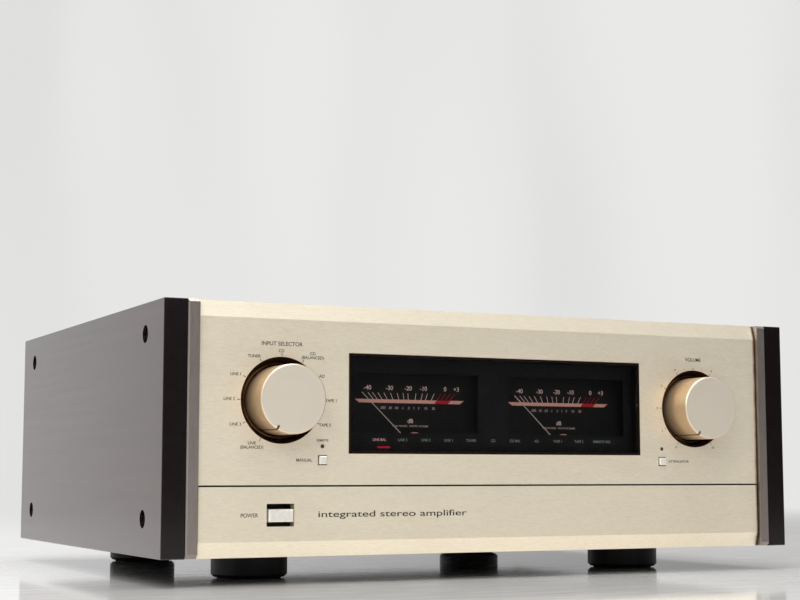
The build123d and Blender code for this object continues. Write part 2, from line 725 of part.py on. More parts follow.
def meter_needle(side):
    """Tapered pointer with hub, tail weight and spindle."""
    x, z = side * METER_X, up(METER_PIVOT_UP)
    y = back(METER_PLATE_DEPTH - 1.9)
    outline = Polyline((-NEEDLE_ROOT_HALF, 0), (-NEEDLE_TIP_HALF, NEEDLE_LENGTH),
                       (NEEDLE_TIP_HALF, NEEDLE_LENGTH), (NEEDLE_ROOT_HALF, 0), close=True)
    blade = extrude(Plane.XZ * make_face(outline), amount=0.25, both=True)
    needle = blade + rod_y(0, 0, NEEDLE_HUB_R, -0.6, 0.9)
    needle += block(-1.1, 1.1, -0.3, 0.3, -NEEDLE_TAIL, 0)
    needle += rod_y(0, 0, METER_SPINDLE_R, 0, 9.5)
    return [Pos(x, y, z) * Rot(0, METER_REST, 0) * needle]


# ---------------------------------------------------------------- rear connectors
def rca_places():
    """Centres of the phono sockets: left channel above, right channel below."""
    columns = [PHONO_FIRST_X + PHONO_PITCH * i for i in range(PHONO_COLUMNS)]
    return [(x, up(height)) for x in columns for height in PHONO_ROWS]


def balanced_places():
    return [(x, up(height)) for x in BALANCED_COLUMNS for height in BALANCED_ROWS]


def terminal_places():
    """Centres of the speaker posts."""
    columns = [POST_FIRST_X + POST_PITCH * i for i in range(POST_COLUMNS)]
    return [(x, up(height)) for x in columns for height in POST_ROWS]


def rca_jacks():
    """Phono sockets: flange, plated shell with a centre bore, and a body inside."""
    jacks = []
    for x, z in rca_places():
        jack = rod_y(x, z, 6.2, REAR_FACE, REAR_FACE + 2.0)
        jack += rod_y(x, z, 4.15, REAR_FACE + 2.0, REAR_FACE + 11.0)
        jack += rod_y(x, z, 5.0, REAR_FACE - 14.0, REAR_FACE)
        jacks.append(jack - rod_y(x, z, 1.6, REAR_FACE + 2.5, REAR_FACE + 12.0))
    return jacks


def balanced_sockets():
    """Three-pole balanced inputs: square flange, round shell and insert with three holes."""
    sockets = []
    for x, z in balanced_places():
        socket = panel(26.0, 31.0, x, z, REAR_FACE, REAR_FACE + 2.0)
        socket = fillet(socket.edges().filter_by(Axis.Y), 2.5)
        socket += rod_y(x, z, 11.0, REAR_FACE - 22.0, REAR_FACE)
        socket -= rod_y(x, z, 9.6, REAR_FACE + 0.5, REAR_FACE + 3.0)
        socket += rod_y(x, z, 8.2, REAR_FACE + 0.5, REAR_FACE + 1.8)
        for angle in (90, 210, 330):
            pole = rod_y(0, 4.6, 1.3, REAR_FACE - 10.0, REAR_FACE + 3.0)
            socket -= around(angle, x, z) * pole
        sockets.append(socket)
    return sockets


def terminal_plate():
    """Insulating block that the speaker posts pass through."""
    places = terminal_places()
    xs, zs = [x for x, _ in places], [z for _, z in places]
    x_mid, z_mid = (min(xs) + max(xs)) / 2, (min(zs) + max(zs)) / 2
    width, height = max(xs) - min(xs) + 26.0, max(zs) - min(zs) + 24.0
    plate = panel(width, height, x_mid, z_mid, REAR_FACE, REAR_FACE + 4.0)
    plate = fillet(plate.edges().filter_by(Axis.Y), 4.0)
    for x, z in places:
        plate += rod_y(x, z, 6.9, REAR_FACE - 6.0, REAR_FACE)
        plate += rod_y(x, z, 9.0, REAR_FACE + 4.0, REAR_FACE + 8.0)
    return [plate - [rod_y(x, z, POST_R + 0.02, REAR_FACE - 7, REAR_FACE + 9) for x, z in places]]


def speaker_terminals():
    """Plated posts with an axial bore for a 4 mm plug and a cross hole for bare wire."""
    posts = []
    for x, z in terminal_places():
        end = DEPTH / 2
        post = rod_y(x, z, POST_R, REAR_FACE - 14.0, end)
        post -= rod_y(x, z, POST_BORE_R, end - POST_BORE_L, end + 1)
        posts.append(post - rod_z(x, REAR_FACE + 10.0, 1.2, z - 5, z + 5))
    return posts


def terminal_nuts():
    """Knurled clamping nuts on the speaker posts."""
    nuts = []
    flutes = 12
    for x, z in terminal_places():
        y0, y1 = REAR_FACE + 12.0, DEPTH / 2 - 2.0
        outline = [(POST_R + 0.05, y0), (7.5, y0), (7.5, y0 + 3), (9.0, y0 + 5), (9.0, y1 - 1),
                   (8.0, y1), (POST_R + 0.05, y1)]
        nut = turned_y(outline, x, z)
        cutters = []
        for i in range(flutes):
            flute = rod_y(0, 9.6, 1.1, y0 + 4, y1 + 1)
            cutters.append(around(i * 360 / flutes, x, z) * flute)
        nuts.append(nut - cutters)
    return nuts


def mains_inlet():
    """Three-blade appliance inlet with a screwed flange and its open socket."""
    mouth = REAR_FACE + 3.0
    inlet = panel(48.0, 25.0, INLET_X, INLET_Z, REAR_FACE, mouth)
    inlet = fillet(inlet.edges().filter_by(Axis.Y), 3.0)
    inlet += panel(INLET_BODY_W, INLET_BODY_H, INLET_X, INLET_Z, REAR_FACE - 20.0, REAR_FACE)
    inlet -= panel(23.6, 15.8, INLET_X, INLET_Z, REAR_FACE - 14.5, mouth + 1)
    for dx, dz in ((-7.0, -2.0), (0.0, 2.0), (7.0, -2.0)):
        inlet += panel(2.0, 4.0, INLET_X + dx, INLET_Z + dz, REAR_FACE - 14.5, REAR_FACE - 2.5)
    return [inlet]


# ---------------------------------------------------------------- inside the case
def transformer():
    """Toroidal mains transformer: winding, centre washer and bolt."""
    x, y = TRANSFORMER_X, back(TRANSFORMER_DEPTH)
    top = DECK + TRANSFORMER_H
    ring = fillet(rod_z(x, y, TRANSFORMER_R, DECK, top).edges(), 8.0) - rod_z(x, y, 18.0, BASE, TOP)
    washer = rod_z(x, y, 24.0, top, top + 2.0) + rod_z(x, y, 4.0, DECK, top + 10.0)
    return [ring + washer + rod_z(x, y, 18.5, DECK, DECK + 2.0)]


def filter_capacitors():
    """Four upright reservoir capacitors."""
    cans = []
    for x in CAN_COLUMNS:
        for depth in CAN_DEPTHS:
            can = rod_z(x, back(depth), CAN_R, DECK, DECK + CAN_H)
            cans.append(fillet(can.edges().sort_by(Axis.Z)[-1:], 2.5))
    return cans


def heatsinks():
    """Finned aluminium heatsinks, one for each channel."""
    sinks = []
    first, last = back(SINK_FIRST), back(SINK_LAST)
    low, high = DECK + 6, up(SINK_TOP)
    pitch = (last - first - FIN_T) / (FIN_COUNT - 1)
    for side in (-1, 1):
        root = side * SINK_ROOT_X
        sink = block(root, root + side * SINK_PLATE_T, first, last, low, high)
        for i in range(FIN_COUNT):
            y = first + pitch * i
            sink += block(root + side * 6.0, side * SINK_OUTER_X, y, y + FIN_T, low, high)
        for depth in (90.0, 300.0):
            sink += block(root, side * 190.0, back(depth), back(depth + 6), DECK, DECK + 7)
        sinks.append(sink)
    return sinks


def output_transistors():
    """Output devices on the inner faces of the heatsinks."""
    devices = []
    for side in (-1, 1):
        for i in range(5):
            y = back(96.0 + 42.0 * i)
            root, face = side * SINK_ROOT_X, side * (SINK_ROOT_X - DEVICE_T)
            devices.append(block(root, face, y, y + 20.0, up(70.0), up(96.0)))
    return devices


def power_amp_boards():
    """Upright circuit boards beside the heatsinks, soldered to the output devices."""
    boards = []
    for side in (-1, 1):
        x1 = side * (SINK_ROOT_X - DEVICE_T)
        x0 = x1 - side * BOARD_T
        boards.append(block(x0, x1, back(80.0), back(300.0), DECK, up(130.0)))
    return boards


def input_board():
    """Upright circuit board that the phono sockets are soldered to."""
    y1 = REAR_FACE - 14.0
    return [block(-208.0, -34.0, y1 - BOARD_T, y1, up(104.0), up(148.0))]


PARTS = {
    "wood_side_left": wood_side(-1),
    "wood_side_right": wood_side(1),
    "wood_side_screws": wood_side_screws(),
    "side_pillars": side_pillars(),
    "side_frames": side_frames(),
    "case_screws": case_screws(),
    "base_plate": base_plate(),
    "top_cover": top_cover(),
    "front_chassis": front_chassis(),
    "panel_standoffs": panel_standoffs(),
    "rear_panel": rear_panel(),
    "feet": feet(),
    "foot_pads": foot_pads(),
    "foot_screws": foot_screws(),
    "front_panel": front_panel(),
    "front_flap": front_flap(),
    "flap_hinge_pins": flap_hinge_pins(),
    "dish_rings": dish_rings(),
    "input_knob": large_knob(-1),
    "volume_knob": large_knob(1),
    "input_shaft": large_shaft(-1),
    "volume_shaft": large_shaft(1),
    "input_selector_switch": input_selector_switch(),
    "volume_potentiometer": volume_potentiometer(),
    "manual_button": square_button(-BUTTON_X, BUTTON_UP, -BUTTON_REACH, FASCIA_T + 0.1),
    "attenuator_button": square_button(BUTTON_X, BUTTON_UP, -BUTTON_REACH, FASCIA_T + 0.1),
    "tone_button": square_button(TONE_BUTTON_X, SMALL_UP, 12.0, 20.0),
    "mono_button": square_button(MONO_BUTTON_X, SMALL_UP, 12.0, 20.0),
    "button_switches": button_switches(),
    "status_leds": status_leds(),
    "power_button": power_button(),
    "power_switch": power_switch(),
    "small_controls": small_controls(),
    "headphone_jack": headphone_jack(),
    "window_frame": window_frame(),
    "window_glass": window_glass(),
    "meter_mask": meter_mask(),
    "source_lamps": source_lamps(),
    "meter_housing": meter_housing(),
    "meter_scale_plates": meter_scale_plates(),
    "meter_movements": meter_movements(),
    "meter_needle_left": meter_needle(-1),
    "meter_needle_right": meter_needle(1),
    "rca_jacks": rca_jacks(),
    "balanced_sockets": balanced_sockets(),
    "terminal_plate": terminal_plate(),
    "speaker_terminals": speaker_terminals(),
    "terminal_nuts": terminal_nuts(),
    "mains_inlet": mains_inlet(),
    "transformer": transformer(),
    "filter_capacitors": filter_capacitors(),
    "heatsinks": heatsinks(),
    "output_transistors": output_transistors(),
    "power_amp_boards": power_amp_boards(),
    "input_board": input_board(),
}
for knob_name, knob_x in SMALL_KNOBS.items():
    PARTS[knob_name] = small_knob(knob_x)

for name, solids in PARTS.items():
    shape = solids[0] if len(solids) == 1 else Compound(children=solids)
    export_step(shape, f"parts/{name}.step")
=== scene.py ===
"""Looks of the integrated amplifier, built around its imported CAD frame.

Everything is in metres in the CAD frame: +X right, +Y rear, +Z up, floor at z = 0.
CAD nodes keep their shapes and get procedural materials. Printed scales, lettering, lamps
and small turned parts are added as pieces that ride on the CAD bodies.
"""
import json
import math

import bmesh
import bpy
from mathutils import Matrix, Vector


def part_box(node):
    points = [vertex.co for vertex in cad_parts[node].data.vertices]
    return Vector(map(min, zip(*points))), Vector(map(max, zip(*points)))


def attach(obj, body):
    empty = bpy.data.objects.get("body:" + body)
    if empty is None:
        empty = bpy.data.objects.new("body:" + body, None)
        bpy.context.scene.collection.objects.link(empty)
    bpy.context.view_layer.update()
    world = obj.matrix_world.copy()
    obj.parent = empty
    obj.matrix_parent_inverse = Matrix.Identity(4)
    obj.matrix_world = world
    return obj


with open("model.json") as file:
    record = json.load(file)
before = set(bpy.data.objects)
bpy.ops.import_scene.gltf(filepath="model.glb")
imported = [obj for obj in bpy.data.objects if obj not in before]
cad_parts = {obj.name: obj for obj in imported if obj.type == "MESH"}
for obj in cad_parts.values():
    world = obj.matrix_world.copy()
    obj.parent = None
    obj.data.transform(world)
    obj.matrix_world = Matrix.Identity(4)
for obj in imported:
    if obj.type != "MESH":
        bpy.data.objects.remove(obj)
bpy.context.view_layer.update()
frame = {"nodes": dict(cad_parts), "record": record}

MM = 0.001
NODES = frame["nodes"]

# ---------------------------------------------------------------- places from the frame
FASCIA_LOW, FASCIA_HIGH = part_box("front_panel")
FLAP_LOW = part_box("front_flap")[0]
FACE_Y = FASCIA_LOW.y                       # plane of the fascia's face
CASE_BOTTOM = FLAP_LOW.z


def centre(node):
    """Middle of a CAD node's box."""
    low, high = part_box(node)
    return (low + high) / 2


INPUT_KNOB = centre("input_knob")
VOLUME_KNOB = centre("volume_knob")
KNOB_FACE_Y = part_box("input_knob")[0].y
KNOB_BACK_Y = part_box("input_knob")[1].y
DIAL_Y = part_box("meter_scale_plates")[0].y   # front face of the meters' dial plates
MASK_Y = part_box("meter_mask")[0].y
SUBPANEL_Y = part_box("front_chassis")[0].y
REAR_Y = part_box("rear_panel")[1].y
JOINT_PLACES = {joint["name"]: joint for joint in frame["record"]["behaviour"]["joints"]}
METER_CENTRES = [JOINT_PLACES[f"needle_{side}_swing"]["pos_m"] for side in ("left", "right")]


# ---------------------------------------------------------------- material helpers
def srgb(r, g, b):
    """Linear colour from 0 to 255 display values."""
    def linear(c):
        c /= 255
        return c / 12.92 if c <= 0.04045 else ((c + 0.055) / 1.055) ** 2.4
    return (linear(r), linear(g), linear(b), 1.0)


# Colour sockets of the mix node.
MIX_FIRST, MIX_SECOND, MIX_RESULT = 6, 7, 2


class Graph:
    """A node tree with helpers that add nodes to it. Most return the socket of their result."""

    def __init__(self, tree):
        self.nodes = tree.nodes
        self.links = tree.links

    def node(self, kind, **values):
        made = self.nodes.new(kind)
        for name, value in values.items():
            setattr(made, name, value)
        return made

    def link(self, value, socket):
        """Plugs a socket in, or sets a plain value."""
        if isinstance(value, (int, float, tuple)):
            socket.default_value = value
        else:
            self.links.new(value, socket)

    def coordinates(self, scale, kind="Object"):
        """Coordinates of one kind, stretched by a scale along each axis."""
        source = self.node("ShaderNodeTexCoord")
        mapping = self.node("ShaderNodeMapping")
        mapping.inputs["Scale"].default_value = scale
        self.links.new(source.outputs[kind], mapping.inputs["Vector"])
        return mapping.outputs["Vector"]

    def split(self, vector):
        """The X, Y and Z sockets of a vector, by name."""
        made = self.node("ShaderNodeSeparateXYZ")
        self.links.new(vector, made.inputs["Vector"])
        return made.outputs

    def noise_over(self, vector, detail=3.0, roughness=0.55, distortion=0.0):
        """Noise over the coordinates that a socket gives."""
        made = self.node("ShaderNodeTexNoise")
        for name, value in (("Scale", 1.0), ("Detail", detail), ("Roughness", roughness),
                            ("Distortion", distortion)):
            made.inputs[name].default_value = value
        self.links.new(vector, made.inputs["Vector"])
        return made.outputs["Fac"]

    def noise(self, scale, **settings):
        """Noise over the object, with one scale along all axes or one for each."""
        scales = scale if isinstance(scale, tuple) else (scale,) * 3
        return self.noise_over(self.coordinates(scales), **settings)

    def map_range(self, value, numbers, interpolation="LINEAR"):
        """Maps a range of a value to another: from low, from high, to low, to high."""
        made = self.node("ShaderNodeMapRange", interpolation_type=interpolation)
        for name, number in zip(("From Min", "From Max", "To Min", "To Max"), numbers):
            made.inputs[name].default_value = number
        self.links.new(value, made.inputs["Value"])
        return made.outputs["Result"]

    def spread(self, value, low, high, from_low=0.3, from_high=0.7):
        """Maps the useful middle of a texture to a range."""
        return self.map_range(value, (from_low, from_high, low, high))

    def ramp(self, value, from_low, from_high, low=0.0, high=1.0):
        """Maps a stretch of a value to a range, with soft ends."""
        return self.map_range(value, (from_low, from_high, low, high), "SMOOTHSTEP")

    def blend(self, factor, first, second):
        """Mixes two colours, each a tuple or a socket."""
        made = self.node("ShaderNodeMix", data_type="RGBA")
        self.links.new(factor, made.inputs["Factor"])
        self.link(first, made.inputs[MIX_FIRST])
        self.link(second, made.inputs[MIX_SECOND])
        return made.outputs[MIX_RESULT]

    def math(self, operation, first, second=0.0):
        made = self.node("ShaderNodeMath", operation=operation)
        self.link(first, made.inputs[0])
        self.link(second, made.inputs[1])
        return made.outputs["Value"]

    def vector_math(self, operation, first, second=(0.0, 0.0, 0.0)):
        """The outputs of a vector operation: Vector, or Value for a length."""
        made = self.node("ShaderNodeVectorMath", operation=operation)
        self.links.new(first, made.inputs[0])
        made.inputs[1].default_value = second
        return made.outputs


class Shader(Graph):
    """A principled material, whose sockets can be set by name."""

    def __init__(self, name, **sockets):
        self.mat = bpy.data.materials.new(name)
        self.mat.use_nodes = True
        super().__init__(self.mat.node_tree)
        self.bsdf = self.nodes["Principled BSDF"]
        for socket, value in sockets.items():
            self.bsdf.inputs[socket.replace("_", " ")].default_value = value

    def colour(self, socket):
        self.links.new(socket, self.bsdf.inputs["Base Color"])

    def rough(self, socket):
        self.links.new(socket, self.bsdf.inputs["Roughness"])

    def bump(self, height, distance):
        made = self.node("ShaderNodeBump")
        made.inputs["Distance"].default_value = distance
        self.links.new(height, made.inputs["Height"])
        self.links.new(made.outputs["Normal"], self.bsdf.inputs["Normal"])


def plain(name, dark, light, scale, rough, depth=0.0, **sockets):
    """Finish with a mottled colour, a mottled roughness and a little relief."""
    look = Shader(name, **sockets)
    mottle = look.noise(scale)
    look.colour(look.blend(look.spread(mottle, 0.0, 1.0), dark, light))
    look.rough(look.spread(look.noise(2.3 * scale), *rough))
    if depth:
        look.bump(mottle, depth)
    return look.mat


def brushed(name, dark, light, along, rough, depth, shade_edge_x=None, **sockets):
    """Metal with fine straight grain that runs along one axis.

    Painted brown shade, in uneven patches, darkens the finish just short of the x given for an
    edge, where one is given.
    """
    look = Shader(name, **sockets)

    def streaks(scale_across, scale_along):
        scale = [scale_across] * 3
        scale[along] = scale_along
        return look.noise(tuple(scale), detail=2.0)

    grain = streaks(3200.0, 260.0)
    lines = streaks(1500.0, 120.0)
    cloud = look.noise(11.0, detail=2.0)
    tone = look.math("ADD", look.math("MULTIPLY", grain, 0.6), look.math("MULTIPLY", lines, 0.25))
    tone = look.math("ADD", tone, look.math("MULTIPLY", cloud, 0.15))
    surface = look.blend(look.spread(tone, 0.0, 1.0, 0.36, 0.64), dark, light)
    # Painted shade: uneven brown patches darken the finish just short of that edge.
    if shade_edge_x:
        place = look.split(look.node("ShaderNodeTexCoord").outputs["Object"])
        starts, full = shade_edge_x - 1.8 * MM, shade_edge_x - 0.5 * MM
        edge_shade_band = look.spread(place["X"], 0.0, 1.0, starts, full)
        shade_patches = look.spread(look.noise(70.0), 0.25, 1.0)
        surface = look.blend(look.math("MULTIPLY", edge_shade_band, shade_patches), surface, srgb(150, 108, 62))
    look.colour(surface)
    look.rough(look.spread(lines, *rough))
    look.bump(grain, depth)
    return look.mat


def turned(name, dark, light, side_shade_tone, node_centre, reach, rough):
    """Metal turned on a lathe about an axis along Y: fine rings round the centre.

    The side, at the reach of the piece from its axis, is a darker, warmer tone than the face:
    painted shade and painted reflection of the fascia.
    """
    rings_scale = 6000.0
    look = Shader(name, Metallic=0.7)
    place = look.node("ShaderNodeTexCoord").outputs["Object"]
    shifted = look.vector_math("SUBTRACT", place, node_centre)["Vector"]
    flat = look.vector_math("MULTIPLY", shifted, (1.0, 0.0, 1.0))["Vector"]
    radius = look.vector_math("LENGTH", flat)["Value"]
    rings = look.node("ShaderNodeCombineXYZ")
    look.links.new(look.math("MULTIPLY", radius, rings_scale), rings.inputs["X"])
    look.links.new(look.math("MULTIPLY", look.split(shifted)["Y"], rings_scale), rings.inputs["Y"])
    grain = look.noise_over(rings.outputs["Vector"], detail=2.0, roughness=0.5)
    cloud = look.noise(60.0, detail=2.0)
    tone = look.math("ADD", look.math("MULTIPLY", grain, 0.7), look.math("MULTIPLY", cloud, 0.3))
    face = look.blend(look.spread(tone, 0.0, 1.0, 0.1, 0.9), dark, light)
    # Painted shade and reflection: the side gets its own darker, warmer colour.
    side_shade_mask = look.spread(radius, 0.0, 1.0, 0.97 * reach, 0.995 * reach)
    look.colour(look.blend(side_shade_mask, face, side_shade_tone))
    look.rough(look.spread(grain, *rough))
    look.bump(grain, 0.0000001)
    return look.mat


def lacquered_wood(name):
    """Dark red-brown veneer whose grain runs along Y, under a satin lacquer.

    The end faces, square to the grain, are darker.
    """
    look = Shader(name, Coat_Weight=0.7, Coat_Roughness=0.09, Specular_IOR_Level=0.3)
    flow = look.noise((22.0, 1.6, 22.0), detail=3.0, distortion=0.8)
    bands = look.noise((210.0, 4.0, 210.0), detail=5.0, distortion=0.5)
    pores = look.noise((1300.0, 26.0, 1300.0), detail=3.0)
    base = look.blend(look.spread(flow, 0.0, 1.0), srgb(44, 17, 13), srgb(60, 25, 18))
    tone = look.blend(look.spread(bands, 0.0, 0.6), base, srgb(24, 9, 8))
    veneer = look.blend(look.spread(pores, 0.0, 0.5, 0.5, 0.75), tone, srgb(10, 4, 4))
    facing = look.split(look.node("ShaderNodeTexCoord").outputs["Normal"])
    end_grain = look.math("MULTIPLY", facing["Y"], facing["Y"])
    look.colour(look.blend(end_grain, veneer, srgb(15, 7, 8)))
    look.rough(look.spread(bands, 0.2, 0.26))
    look.bump(pores, 0.0000015)
    return look.mat


def ink(name, dark, light):
    """Screen-printed ink: slightly uneven, satin."""
    return plain(name, dark, light, 1800.0, (0.45, 0.6), 0.000002)


def lit_print(name, colour, strength):
    """Print that gives off a little light of its own, over a slightly uneven colour."""
    look = Shader(name, Roughness=0.5, Emission_Color=colour, Emission_Strength=strength)
    dim = tuple(0.7 * c for c in colour[:3]) + (1.0,)
    look.colour(look.blend(look.spread(look.noise(900.0), 0.0, 1.0), dim, colour))
    return look.mat


# ---------------------------------------------------------------- materials by slot
X, Z = 0, 2                                 # axes that a straight grain can run along
CHAMPAGNE = (srgb(232, 221, 199), srgb(244, 235, 214))
FINE = 420.0                                # scale of the mottling on most small parts


def window_pane():
    """Dark tinted pane: clear enough to show the lit scales, with a polished face."""
    look = Shader("window_pane", IOR=1.42, Transmission_Weight=1.0)
    smear = look.noise(30.0)
    look.colour(look.blend(look.spread(smear, 0.0, 1.0), srgb(205, 202, 201), srgb(212, 209, 208)))
    look.rough(look.spread(smear, 0.0, 0.012))
    return look.mat


MATERIALS = {
    "wood": lacquered_wood("lacquered_wood"),
    "black_screws": plain("black_oxide", srgb(14, 14, 15), srgb(26, 26, 27), FINE,
                          (0.35, 0.5), Metallic=0.9),
    "grey_trim": brushed("grey_anodised", srgb(150, 141, 135), srgb(162, 152, 146), Z,
                         (0.3, 0.38), 0.000001, Metallic=0.9),
    "chassis_steel": plain("coated_steel", srgb(98, 96, 92), srgb(108, 105, 101), 1200.0,
                           (0.42, 0.5), Metallic=0.8),
    "cover_paint": plain("cover_paint", srgb(66, 60, 54), srgb(86, 79, 71), 1500.0,
                         (0.42, 0.55), 0.00006, Metallic=0.35),
    "rear_paint": plain("rear_paint", srgb(36, 35, 34), srgb(50, 49, 47), 1500.0,
                        (0.45, 0.6), 0.00003),
    "plated_steel": plain("zinc_plate", srgb(168, 168, 160), srgb(198, 198, 192), FINE,
                          (0.25, 0.4), Metallic=1.0),
    "foot_plastic": plain("foot_moulding", srgb(8, 8, 9), srgb(14, 14, 15), 800.0,
                          (0.34, 0.46), 0.00001, Specular_IOR_Level=0.3),
    "foot_rubber": plain("foot_rubber", srgb(12, 12, 12), srgb(22, 22, 22), 700.0,
                         (0.7, 0.85), 0.00004),
    # Painted brown shade along the right end of this finish, next to the side pillar.
    "champagne": brushed("champagne_brushed", *CHAMPAGNE, X, (0.42, 0.5), 0.0000015,
                         shade_edge_x=FASCIA_HIGH.x, Metallic=0.75),
    "bronze_dish": plain("bronze_polish", srgb(84, 60, 42), srgb(98, 72, 52), 60.0,
                         (0.16, 0.24), Metallic=1.0),
    "bronze_rim": plain("bronze_rim", srgb(46, 34, 28), srgb(64, 48, 40), FINE,
                        (0.3, 0.4), Metallic=1.0),
    "button_metal": plain("button_satin", srgb(238, 234, 226), srgb(248, 245, 238), FINE,
                          (0.4, 0.5), Metallic=0.65),
    "switch_plastic": plain("phenolic", srgb(34, 30, 27), srgb(48, 42, 37), FINE,
                            (0.45, 0.6), 0.00002),
    "jack_plastic": plain("jack_moulding", srgb(20, 20, 20), srgb(32, 32, 32), FINE,
                          (0.4, 0.55), 0.00002),
    "lamp_guide": plain("unlit_lamp", srgb(58, 44, 36), srgb(84, 64, 52), FINE, (0.2, 0.3)),
    "source_light": plain("unlit_bar", srgb(13, 12, 13), srgb(19, 17, 18), FINE, (0.5, 0.6)),
    "mask_black": plain("mask_black", srgb(24, 26, 27), srgb(30, 32, 33), FINE, (0.6, 0.8)),
    "dial_black": plain("dial_black", srgb(20, 21, 22), srgb(26, 27, 28), FINE, (0.65, 0.8)),
    "movement_steel": plain("movement_steel", srgb(120, 120, 116), srgb(150, 150, 146),
                            FINE, (0.35, 0.5), Metallic=1.0),
    "needle_paint": lit_print("needle_paint", srgb(205, 196, 192), 0.25),
    "gold_plate": plain("gold_plate", srgb(214, 176, 96), srgb(236, 200, 122), FINE,
                        (0.16, 0.28), Metallic=1.0),
    "nickel_plate": plain("nickel_plate", srgb(172, 170, 164), srgb(184, 182, 176), FINE,
                          (0.2, 0.32), Metallic=1.0),
    "transformer_iron": plain("varnished_winding", srgb(52, 34, 22), srgb(92, 60, 36),
                              300.0, (0.3, 0.45), 0.00005),
    "capacitor_can": plain("sleeved_can", srgb(26, 30, 40), srgb(36, 42, 54), FINE,
                           (0.25, 0.35)),
    "heatsink_black": plain("heatsink_black", srgb(20, 20, 20), srgb(34, 34, 34), FINE,
                            (0.45, 0.6), Metallic=0.6),
    "device_plastic": plain("device_plastic", srgb(20, 20, 21), srgb(32, 32, 33), FINE,
                            (0.5, 0.6)),
    "circuit_board": plain("circuit_board", srgb(14, 66, 36), srgb(24, 96, 52), 260.0,
                           (0.35, 0.5)),
    "window_tint": window_pane(),
}

# Painted shade and reflection of the fascia, on the knobs' sides.
KNOB_SIDE_SHADE = srgb(196, 168, 134)
KNOB_TONES = (srgb(232, 220, 202), srgb(241, 231, 215))
for part in frame["record"]["subparts"]:
    material_slots = NODES[part["node"]].data.materials
    material_slots.clear()
    if part["material_slot"] == "knob_metal":
        low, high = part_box(part["node"])
        material_slots.append(turned(part["node"] + "_metal", *KNOB_TONES, KNOB_SIDE_SHADE,
                                     (low + high) / 2, (high.x - low.x) / 2, (0.38, 0.44)))
    else:
        material_slots.append(MATERIALS[part["material_slot"]])

PRINT = ink("panel_print", srgb(30, 24, 21), srgb(44, 36, 31))
PRINT_GREY = ink("sub_panel_print", srgb(196, 194, 188), srgb(214, 212, 206))
SALMON = lit_print("scale_salmon", srgb(216, 160, 146), 0.5)
SCALE_RED = lit_print("scale_red", srgb(180, 24, 36), 0.38)
SCALE_LINE = lit_print("scale_line", srgb(222, 198, 190), 0.55)
SCALE_DIM = lit_print("scale_dim", srgb(186, 170, 164), 0.45)
LABEL_TEAL = lit_print("label_teal", srgb(138, 160, 156), 0.45)
LABEL_LIT = lit_print("label_lit", srgb(224, 176, 182), 0.6)
LAMP_LIT = lit_print("lamp_lit", srgb(200, 26, 60), 0.6)
POINTER = ink("pointer_fill", srgb(64, 42, 26), srgb(86, 58, 36))
RING_WHITE = plain("ring_white", srgb(214, 212, 206), srgb(230, 228, 222), 300.0, (0.35, 0.5))
RING_RED = plain("ring_red", srgb(150, 18, 20), srgb(178, 30, 30), 300.0, (0.35, 0.5))
RING_BLACK = plain("ring_black", srgb(18, 18, 18), srgb(30, 30, 30), 300.0, (0.35, 0.5))


# ---------------------------------------------------------------- geometry helpers
def mesh_of(shape, name):
    """Turns a finished bmesh into a mesh and frees it."""
    mesh = bpy.data.meshes.new(name)
    shape.to_mesh(mesh)
    shape.free()
    return mesh


def piece(mesh, material, body):
    """Puts a finished mesh into the scene as a piece, named as the mesh, that rides on a body."""
    mesh.materials.clear()
    mesh.materials.append(material)
    made = bpy.data.objects.new(mesh.name, mesh)
    bpy.context.scene.collection.objects.link(made)
    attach(made, body)


